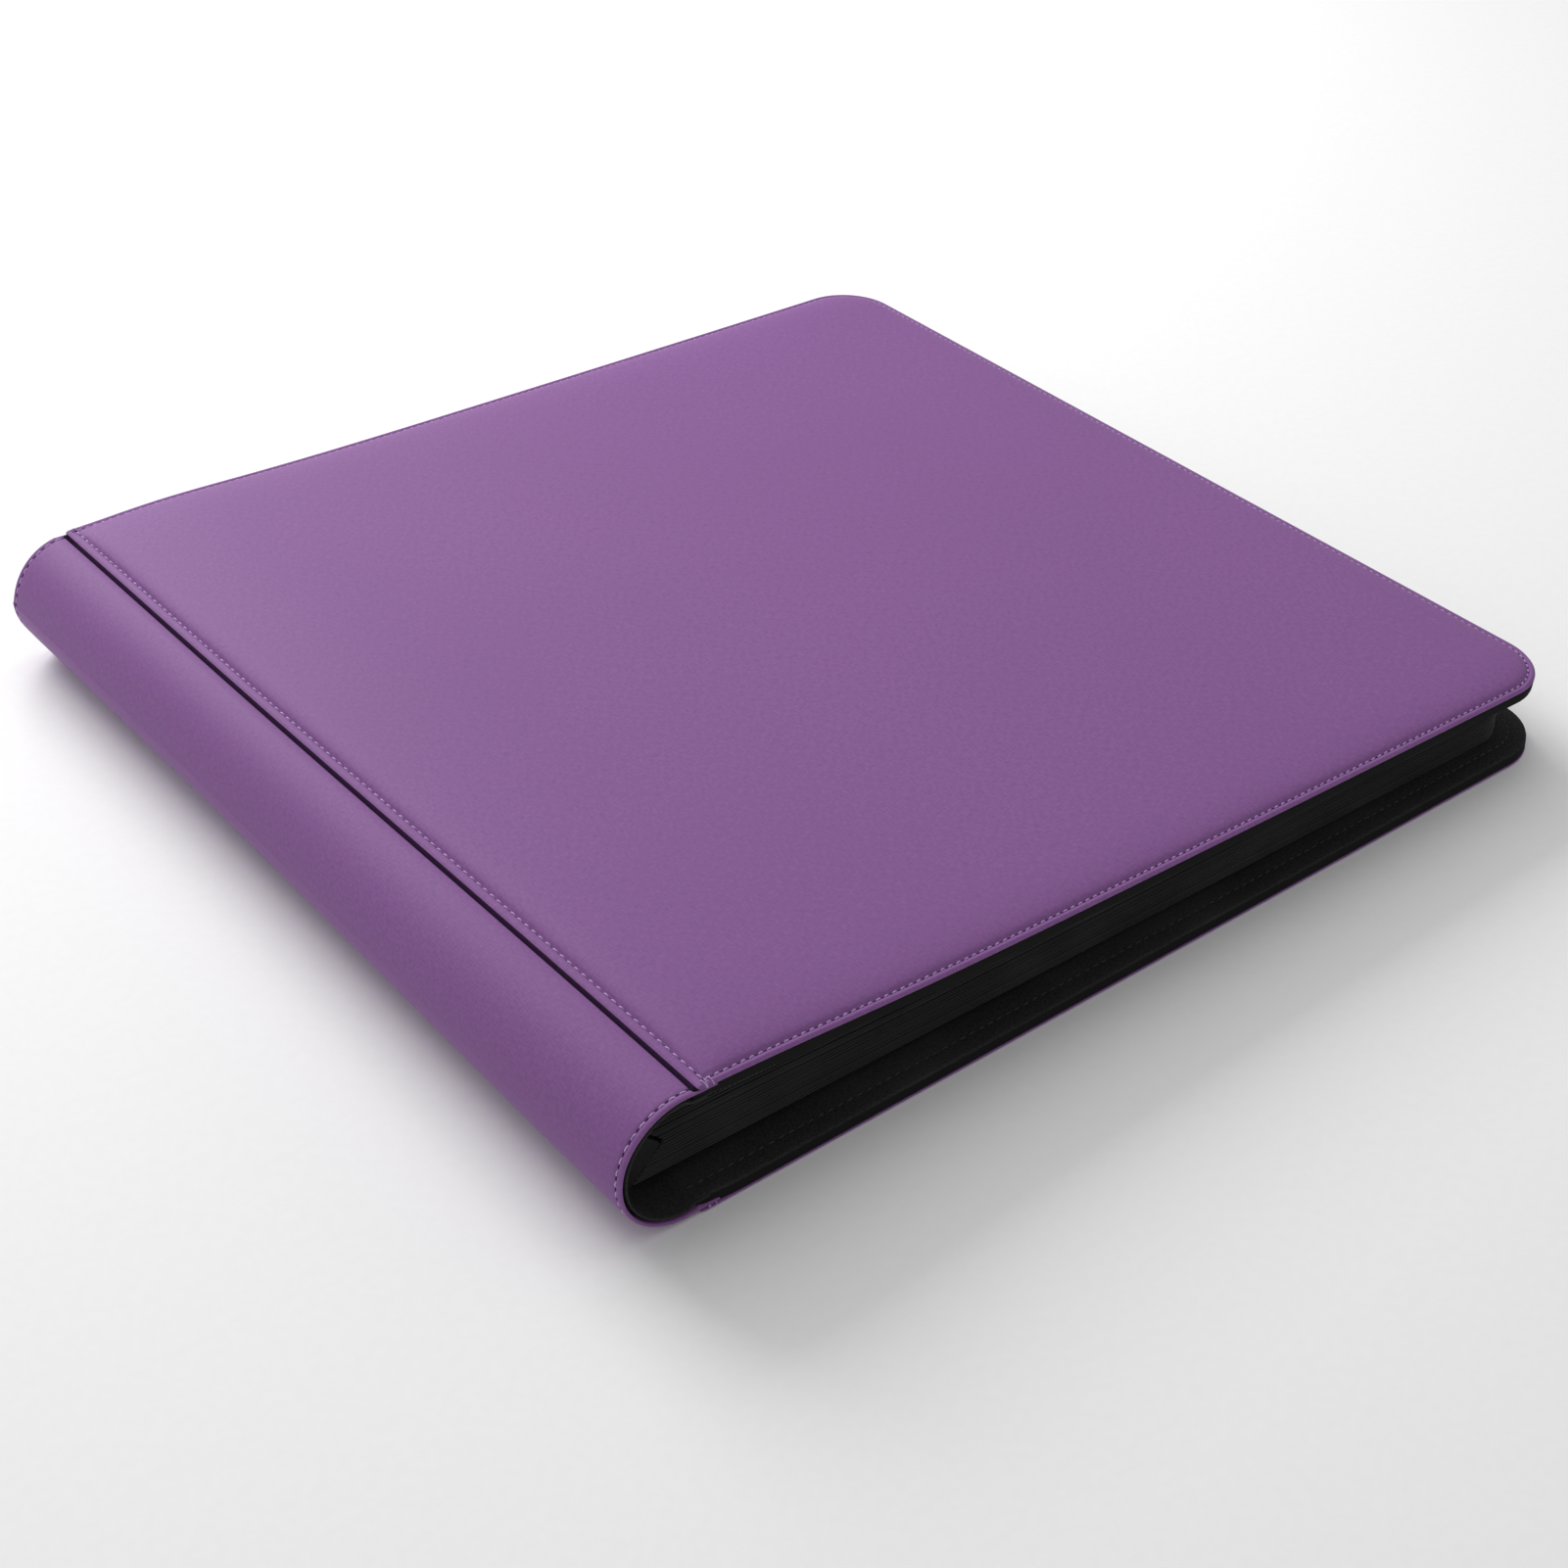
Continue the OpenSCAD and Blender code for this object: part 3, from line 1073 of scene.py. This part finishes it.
class SpineLayer:
    """One layer of the spine, as a run of stations (place, outward normal, dip of the groove there)."""

    def __init__(self, radius, cover_spots):
        self.radius = radius
        self.cover_spots = cover_spots

    def cover_stations(self, side):
        """Stations on a cover, from the one farthest under the flap to the round."""
        point = COVERS[side]
        stations = []
        for u, depth, dip in self.cover_spots:
            place = point(u * MM, -HALF_L, depth * MM)
            outward = (point(u * MM, -HALF_L, 0.0) - point(u * MM, -HALF_L, MM)).normalized()
            stations.append((Vector((place.x, 0.0, place.z)), outward, dip * MM))
        return stations

    def arc_station(self, angle):
        outward = outward_at(angle)
        return SPINE_AXIS + outward * self.radius, outward, 0.0

    def stations(self, number):
        """Stations of the piece that crosses joint number, from mid-band to mid-band."""
        first = max(0.0, (number - 0.5) * BAND_ANGLE)
        last = min(math.pi, (number + 0.5) * BAND_ANGLE)
        steps = round((last - first) / ARC_STEP)
        found = [self.arc_station(angle) for angle in spread(first, last, steps)]
        if number == 0:
            found = self.cover_stations("back") + found
        if number == BAND_COUNT:
            found = found + list(reversed(self.cover_stations("front")))
        return found


def bend(piece, number, inner_radius):
    """Bakes a piece's placement into its mesh; the ends it works out across joint number are not used."""
    tongue = 0.5 * MM
    start = SPINE_AXIS + outward_at((number - 0.5) * BAND_ANGLE) * inner_radius
    end = SPINE_AXIS + outward_at((number + 0.5) * BAND_ANGLE) * inner_radius
    if number == 0:
        start = back_point(-tongue, 0.0, FLAP_T)
    if number == BAND_COUNT:
        end = front_point(-tongue, 0.0, FLAP_T)
    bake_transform(piece)


def nodes_of(kind, number):
    """CAD nodes of one spine layer that piece number stands for."""
    return [f"spine_{kind}_{number + 1}"] if number < BAND_COUNT else []


DEEPEST_DIP = 2.0 * MM


def dip_share(y):
    """The groove runs out towards the spine's ends."""
    return soft_step((HALF_L - abs(y) - 0.7 * MM) / (1.2 * MM))


def painted_groove_shade(dip, y):
    """How much painted shade darkens the groove."""
    return dip_share(y) * dip / DEEPEST_DIP


def spine_point(place, outward, dip, y, height):
    """A point of the spine at y, with the groove and the dent taken off its height."""
    return place + Vector((0.0, y, 0.0)) + outward * (height - dip * dip_share(y) - spine_dent(outward, y))


def sweep(name, stations, section, make_material, flat_start=0.0):
    """A strip along the spine: section gives (y, height) round the strip at each station."""
    cloth = Cloth()
    rows = []
    run = flat_start
    previous = None
    for place, outward, dip in stations:
        if previous is not None:
            run += (place - previous).length
        previous = place
        spots = section(run)
        # The third value of flat carries the painted shade of the groove.
        rows.append(cloth.row(
            [spine_point(place, outward, dip, y, height) for y, height in spots],
            [(run, y, painted_groove_shade(dip, y)) for y, _ in spots],
        ))
    cloth.strips(rows, closed=True)
    return cloth.build(name, make_material)


def mirrored(profile, half, middle_steps):
    """A closed section from one end's (inset, height) profile, its two ends joined by a flat field."""
    near = [(inset - half, height) for inset, height in profile]
    last_inset, last_height = profile[-1]
    field = [(y, last_height) for y in spread(last_inset - half, half - last_inset, middle_steps)][1:-1]
    far = [(half - inset, height) for inset, height in reversed(profile)]
    first_inset, first_height = profile[0]
    back = [(y, first_height) for y in spread(half - first_inset, first_inset - half, 12)][1:-1]
    return near + field + far + back


def spine_skin_profile():
    """The spine leather's end: fold, hem and stitch channel, as (inset, height)."""
    stitch = sizes().end_inset
    tuck = 0.25 * MM
    profile = [(1.8 * MM, -sizes().leather_thickness)]
    profile += [(inset + tuck, height) for inset, height in edge_fold(sizes().leather_thickness)]
    for inset in (0.9, 1.3, 1.7, 2.0, 2.25, 2.5, 2.75, 3.0, 3.4, 4.0, 5.0, 7.0, 10.0):
        hem = 0.08 * MM * math.sin(math.pi * min(1.0, inset * MM / stitch))
        channel = 0.3 * MM * math.exp(-((inset * MM - stitch) / (0.4 * MM)) ** 2)
        body = 0.16 * MM * soft_step((inset * MM - stitch) / (1.6 * MM))
        profile.append((inset * MM, hem - channel + body))
    return profile


# Stations on a cover: u, depth and dip of the groove, in millimetres; the dip also sets the groove's
# painted shade.
LEATHER_SPOTS = [(6.0, 1.12, 0.0), (3.0, 1.14, 0.0), (1.8, 1.18, 0.2), (0.9, 1.18, 1.2),
                 (0.2, 1.18, 1.9), (-0.3, 1.18, 2.0), (-0.65, 1.17, 1.5), (-0.95, 1.15, 0.7),
                 (-1.2, 1.12, 0.2), (-1.6, 1.11, 0.0), (-3.3, 1.11, 0.0)]
LINING_SPOTS = [(3.0, 4.05, 0.0), (0.5, 4.1, 0.0), (-1.0, 4.05, 0.0), (-2.0, 3.8, 0.0), (-3.0, 3.3, 0.0)]
LINING_START = -1.0 * MM
STIFFENER_DEPTH = 1.05 * MM


def spine_leather(number, layer):
    """One length of spine leather, from mid-band to mid-band."""
    section = mirrored(spine_skin_profile(), HALF_L, 30)
    skin = sweep(f"spine_skin_{number + 1}", layer.stations(number), lambda run: section, leatherette,
                 number * BAND_ANGLE * SPINE_R)
    bend(skin, number, SPINE_R - sizes().leather_thickness)
    nodes = nodes_of("leather", number)
    if number == 0:
        nodes.append("back_cover_spine_margin")
    if number == BAND_COUNT:
        nodes.append("front_cover_spine_margin")
    stand_for(skin, "leatherette", *nodes)
    width = along_path(layer.stations(number))[1]


def spine_lining(number, layer):
    """One length of the spine's black lining, slightly creased."""
    thickness = 0.6 * MM
    profile = [(1.2 * MM, 0.0), (0.6 * MM, -0.02 * MM), (0.45 * MM, -0.3 * MM), (0.6 * MM, -thickness)]
    profile += [(inset * MM, -thickness) for inset in (1.2, 2.4, 4.0, 6.0, 9.0, 12.0)]
    section = mirrored(profile, HALF_L, 40)

    def creased(run):
        found = []
        for y, height in section:
            inner = height < -0.5 * thickness
            depth = 0.35 * MM * unevenness(run * 2.2, y, 0.011, 31.0) if inner else 0.0
            fade = min(1.0, max(0.0, (HALF_L - abs(y)) / (4 * MM) - 0.3))
            found.append((y, height - abs(depth) * fade))
        return found

    lining = sweep(f"spine_lining_cloth_{number + 1}", layer.stations(number), creased, lining_cloth)
    bend(lining, number, layer.radius - thickness)
    stand_for(lining, "lining", *nodes_of("lining", number))
    width = along_path(layer.stations(number))[1]


def spine_stiffening(number, layer):
    """One length of the bendable stiffener, cut shorter than the leather."""
    thickness = 0.7 * MM
    profile = [(0.2 * MM, -thickness), (0.0, -thickness / 2), (0.2 * MM, 0.0)]
    section = mirrored(profile, HALF_L - 5 * MM, 12)
    sheet = sweep(f"spine_stiffener_sheet_{number + 1}", layer.stations(number), lambda run: section,
                  spine_stiffener)
    bend(sheet, number, layer.radius - thickness)
    stand_for(sheet, "stiffener", *nodes_of("stiffener", number))


STITCH_FREE = 1.4 * MM
STITCH_SINK = 0.2 * MM


def spine_sewing(number, layer):
    """The end stitches of one length of the spine."""
    threads, holes = Cloth(), Cloth()
    shown = [station for station in layer.stations(number) if station[0].x < SEAM_X - STITCH_FREE]
    for end in (-1, 1):
        y = end * (HALF_L - sizes().end_inset)
        path = [
            (spine_point(place, outward, dip, y, -STITCH_SINK), outward)
            for place, outward, dip in shown
        ]
        sew(threads, holes, path, sizes().seam_pitch, sizes().thread_radius, SPINE_SLANT * end)
    for cloth, name, look, slot, nodes in (
        (threads, "spine_stitches", sewing_thread, "thread", nodes_of("thread", number)),
        (holes, "spine_needle_holes", needle_hole, "leatherette", []),
    ):
        piece = cloth.build(f"{name}_{number + 1}", look, merge=False)
        bend(piece, number, SPINE_R - sizes().leather_thickness)
        stand_for(piece, slot, *nodes)


BLOCK_GAP = 0.7 * MM


def binding_block():
    """The binding block, drawn in where the dented spine presses on it."""
    source = frame["nodes"]["binding_block"]
    mesh = source.data.copy()
    mesh.transform(source.matrix_world)
    for vertex in mesh.vertices:
        across = vertex.co - SPINE_AXIS
        y, across.y = across.y, 0.0
        outward = across.normalized()
        limit = LINING_R - BLOCK_GAP - spine_dent(outward, y)
        if outward.x < 0.0 and across.length > limit:
            vertex.co = SPINE_AXIS + outward * limit + Vector((0.0, y, 0.0))
    block = bpy.data.objects.new("binding_block_cast", mesh)
    bpy.context.scene.collection.objects.link(block)
    mesh.materials.clear()
    mesh.materials.append(material(binding_plastic))
    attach(block, BODY_CHAIN[(BAND_COUNT + 1) // 2])
    stand_for(block, "binding", "binding_block")


# ---------------------------------------------------------------- leaves

LEAF_HALF_T = 0.35 * MM
LEAF_CORNER_R = 14 * MM
STRIP_START = 0.7 * MM
SHEET_T = 0.36 * MM
POCKET_START = 14 * MM
WELD_W = 2.4 * MM
FILM_EDGE = 2.5 * MM
FILM_CORNER_GAP = 1.5 * MM
FILM_REST = SHEET_T / 2 + 0.02 * MM
FILM_PUFF = 0.06 * MM
FILM_RIPPLE = 0.04 * MM


class LeafPlace:
    """Where one leaf hangs and how it leans."""

    def __init__(self, number):
        self.name = f"leaf_{number:02d}"
        low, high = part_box(self.name)
        self.root = joint_point(f"{self.name}_hinge")
        tip_x = high.x
        tip_z = low.z + LEAF_HALF_T
        self.angle = math.atan2(self.root.z - tip_z, tip_x - self.root.x)
        self.long = (tip_x - self.root.x) / math.cos(self.angle)
        self.half = high.y
        self.sag_share = (number - 1) / (LEAF_COUNT - 1)
        self.panel_start = SEAM_X + POCKET_START - self.root.x

    def point(self, along, y, height):
        """A point of the leaf: along from its hinge line, height above its middle plane."""
        x = self.root.x + along * math.cos(self.angle) + height * math.sin(self.angle)
        z = self.root.z - along * math.sin(self.angle) + height * math.cos(self.angle)
        sag = self.sag_share * sag_at(x - SEAM_X)
        return Vector((x, y, z - sag))


def leaf_core(place, jitter):
    """The black sheet of one leaf."""
    long = place.long - jitter.uniform(0.0, 0.5) * MM
    half = place.half - jitter.uniform(0.0, 0.5) * MM
    panel = Panel2D(STRIP_START, long, half, LEAF_CORNER_R, 0.5 * MM, 24, 10)
    cloth = Cloth()
    half_t = SHEET_T / 2

    def at_height(height):
        return lambda u, y: place.point(u, y, height)

    rows = [cloth.lay(panel.ring(inset), at_height(height)) for inset, height in (
        (5 * MM, -half_t), (0.06 * MM, -half_t), (0.0, -half_t / 2),
        (0.0, half_t / 2), (0.06 * MM, half_t), (5 * MM, half_t))]
    cloth.strips(rows, closed=True)
    cloth.fill(rows[0], panel, LEAF_CORNER_R, at_height(-half_t))
    cloth.fill(rows[-1], panel, LEAF_CORNER_R, at_height(half_t))
    sheet = cloth.build(f"{place.name}_sheet", leaf_sheet)
    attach(sheet, place.name)
    stand_for(sheet, "leaf_sheet", place.name)


def pocket_lines(first, last, cells):
    """Grid lines across a row of pockets, and how far each stands proud of the weld, from 0 to 1."""
    lines = []
    cell = (last - first) / cells
    for number in range(cells):
        start = first + number * cell
        inner = cell - 2 * WELD_W
        lines += [(start, 0.0), (start + WELD_W, 0.0)]
        lines += [(start + WELD_W + inner * share, lift) for share, lift in (
            (0.04, 0.75), (0.25, 1.0), (0.5, 1.0), (0.75, 1.0), (0.96, 0.75))]
        lines += [(start + cell - WELD_W, 0.0)]
    return lines + [(last, 0.0)]


def welded(lines, number):
    """Whether the film lies flat between a grid line and the next."""
    return lines[number][1] == 0.0 and lines[number + 1][1] == 0.0


def within_corner(place, u, y):
    """The spot, drawn back inside the leaf's rounded corner."""
    centre_u = place.long - LEAF_CORNER_R
    centre_y = math.copysign(place.half - LEAF_CORNER_R, y)
    du, dy = u - centre_u, y - centre_y
    reach = LEAF_CORNER_R - FILM_CORNER_GAP
    distance = math.hypot(du, dy)
    if du <= 0.0 or dy * y <= 0.0 or distance <= reach:
        return u, y
    return centre_u + du * reach / distance, centre_y + dy * reach / distance


def leaf_pockets(place, jitter):
    """Clear pockets on both faces of one leaf, with welds between them."""
    across = pocket_lines(place.panel_start, place.long - FILM_EDGE, sizes().pocket_columns)
    along = pocket_lines(FILM_EDGE - place.half, place.half - FILM_EDGE, sizes().pocket_rows)
    cloth = Cloth()
    seed = jitter.uniform(0.0, 50.0)
    for face in (-1, 1):
        rows = []
        for y, lift_y in along:
            spots = []
            for u, lift_u in across:
                puff = FILM_PUFF + FILM_RIPPLE * unevenness(u, y, 0.03, seed)
                height = FILM_REST + min(lift_u, lift_y) * puff
                spots.append(place.point(*within_corner(place, u, y), face * height))
            rows.append(cloth.row(spots, [(u, y, 0) for u, _ in across]))
        cloth.strips(rows)
    film = cloth.build(f"{place.name}_pockets", pocket_film, merge=False)
    film.data.materials.append(material(weld_film))
    columns, rows_on_face = len(across) - 1, len(along) - 1
    for polygon in film.data.polygons:
        row, column = divmod(polygon.index % (columns * rows_on_face), columns)
        polygon.material_index = 1 if welded(across, column) or welded(along, row) else 0
    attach(film, place.name)
    stand_for(film, "leaf_sheet")


# ---------------------------------------------------------------- stage

# Place, target, width and height of the lights.
KEY_LIGHT = (-0.04, 1.10, 0.72), (-0.03, 0.0, 0.02), 0.9, 0.6
TOP_LIGHT = (0.15, 0.6, 1.5), (0.0, 0.0, 0.02), 1.5, 1.5


def area_light(name, power, place, target, width, height):
    """A soft rectangular light that faces a target."""
    light = bpy.data.lights.new(name, "AREA")
    light.shape = "RECTANGLE"
    light.size = width
    light.size_y = height
    light.energy = power
    lamp = bpy.data.objects.new(name, light)
    lamp.location = place
    lamp.rotation_euler = (Vector(target) - Vector(place)).to_track_quat("-Z", "Y").to_euler()
    bpy.context.scene.collection.objects.link(lamp)


def view_axes(azimuth, elevation):
    """Right, up and back directions of a view."""
    right = Vector((math.cos(azimuth), math.sin(azimuth), 0.0))
    back = Vector((
        math.sin(azimuth) * math.cos(elevation),
        -math.cos(azimuth) * math.cos(elevation),
        math.sin(elevation),
    ))
    return right, back.cross(right), back


def place_camera(stage):
    right, up, back = view_axes(stage.azimuth, stage.elevation)
    camera = bpy.data.cameras.new("studio_camera")
    camera.lens = stage.lens
    camera.sensor_width = 36.0
    camera.clip_start = 0.01
    holder = bpy.data.objects.new("studio_camera", camera)
    corner = Vector((SEAM_X, -HALF_L, 0.0))
    place = corner + back * stage.distance + right * stage.shift_right + up * stage.shift_up
    turn = Matrix((right, up, back)).transposed().to_4x4()
    holder.matrix_world = Matrix.Translation(place) @ turn
    bpy.context.scene.collection.objects.link(holder)
    bpy.context.scene.camera = holder


def floor_sweep():
    """A wide pale floor just under the binder."""
    reach = 6.0
    mesh = bpy.data.meshes.new("studio_floor")
    corners = [(-reach, -reach, 0.0), (reach, -reach, 0.0), (reach, reach, 0.0), (-reach, reach, 0.0)]
    mesh.from_pydata(corners, [], [(0, 1, 2, 3)])
    floor = bpy.data.objects.new("studio_floor", mesh)
    floor.location.z = -0.05 * MM
    mesh.materials.append(material(studio_floor))
    bpy.context.scene.collection.objects.link(floor)


def sky_light(strength):
    world = bpy.data.worlds.new("studio_sky")
    world.use_nodes = True
    background = world.node_tree.nodes["Background"]
    background.inputs["Color"].default_value = (1.0, 1.0, 1.0, 1.0)
    background.inputs["Strength"].default_value = strength
    bpy.context.scene.world = world


# ---------------------------------------------------------------- operators

class BINDER_OT_stage(bpy.types.Operator):
    """Set up the floor, the lights and the camera"""
    bl_idname = "binder.stage"
    bl_label = "Stage"

    def execute(self, context):
        stage = context.scene.binder_stage
        context.scene.view_settings.view_transform = "Standard"
        place_camera(stage)
        floor_sweep()
        sky_light(stage.sky)
        area_light("key_light", stage.key, *KEY_LIGHT)
        area_light("top_light", stage.top, *TOP_LIGHT)
        return {"FINISHED"}


class BINDER_OT_covers(bpy.types.Operator):
    """Make the padded leatherette of both covers"""
    bl_idname = "binder.covers"
    bl_label = "Covers"

    def execute(self, context):
        for side in COVERS:
            cover_skin(side)
        return {"FINISHED"}


class BINDER_OT_linings(bpy.types.Operator):
    """Make the black linings of both covers"""
    bl_idname = "binder.linings"
    bl_label = "Linings"

    def execute(self, context):
        for side in COVERS:
            cover_lining(side)
            lining_sewing(side)
        return {"FINISHED"}


class BINDER_OT_cover_sewing(bpy.types.Operator):
    """Sew both covers"""
    bl_idname = "binder.cover_sewing"
    bl_label = "Cover stitching"

    def execute(self, context):
        for side in COVERS:
            cover_sewing(side)
        return {"FINISHED"}


class BINDER_OT_spine(bpy.types.Operator):
    """Make the spine's leather, stiffener, lining and end stitches"""
    bl_idname = "binder.spine"
    bl_label = "Spine"

    def execute(self, context):
        leather = SpineLayer(SPINE_R, LEATHER_SPOTS)
        stiffener = SpineLayer(SPINE_R - STIFFENER_DEPTH, [])
        lining = SpineLayer(LINING_R, LINING_SPOTS)
        for number in range(BAND_COUNT + 1):
            spine_leather(number, leather)
            spine_stiffening(number, stiffener)
            spine_lining(number, lining)
            spine_sewing(number, leather)
        return {"FINISHED"}


class BINDER_OT_leaves(bpy.types.Operator):
    """Make the leaves and their card pockets"""
    bl_idname = "binder.leaves"
    bl_label = "Leaves"

    def execute(self, context):
        jitter = random.Random(11)
        for number in range(1, LEAF_COUNT + 1):
            place = LeafPlace(number)
            leaf_core(place, jitter)
            leaf_pockets(place, jitter)
        return {"FINISHED"}


class BINDER_OT_core(bpy.types.Operator):
    """Make the foam and the boards of both covers and the binding block"""
    bl_idname = "binder.core"
    bl_label = "Core"

    def execute(self, context):
        for side in COVERS:
            for filling in FILLINGS:
                cover_filling(side, *filling)
        binding_block()
        return {"FINISHED"}


class BINDER_PT_panel(bpy.types.Panel):
    """Lists the binder's pieces"""
    bl_label = "Card Binder"
    bl_idname = "BINDER_PT_panel"
    bl_space_type = "VIEW_3D"
    bl_region_type = "UI"
    bl_category = "Binder"

    def draw(self, context):
        for operator in OPERATORS:
            self.layout.operator(operator.bl_idname)


OPERATORS = [
    BINDER_OT_stage,
    BINDER_OT_covers,
    BINDER_OT_linings,
    BINDER_OT_cover_sewing,
    BINDER_OT_spine,
    BINDER_OT_leaves,
    BINDER_OT_core,
]
GROUPS = {"binder_sizes": BinderSizes, "binder_colours": BinderColours, "binder_stage": BinderStage}


def register():
    for group in GROUPS.values():
        bpy.utils.register_class(group)
    for name, group in GROUPS.items():
        setattr(bpy.types.Scene, name, PointerProperty(type=group))
    for operator in OPERATORS:
        bpy.utils.register_class(operator)
    bpy.utils.register_class(BINDER_PT_panel)


def unregister():
    bpy.utils.unregister_class(BINDER_PT_panel)
    for operator in reversed(OPERATORS):
        bpy.utils.unregister_class(operator)
    for name, group in GROUPS.items():
        delattr(bpy.types.Scene, name)
        bpy.utils.unregister_class(group)


def main():
    register()
    bpy.ops.binder.stage()
    bpy.ops.binder.covers()
    bpy.ops.binder.linings()
    bpy.ops.binder.cover_sewing()
    bpy.ops.binder.spine()
    bpy.ops.binder.leaves()
    bpy.ops.binder.core()


if __name__ == "__main__":
    main()
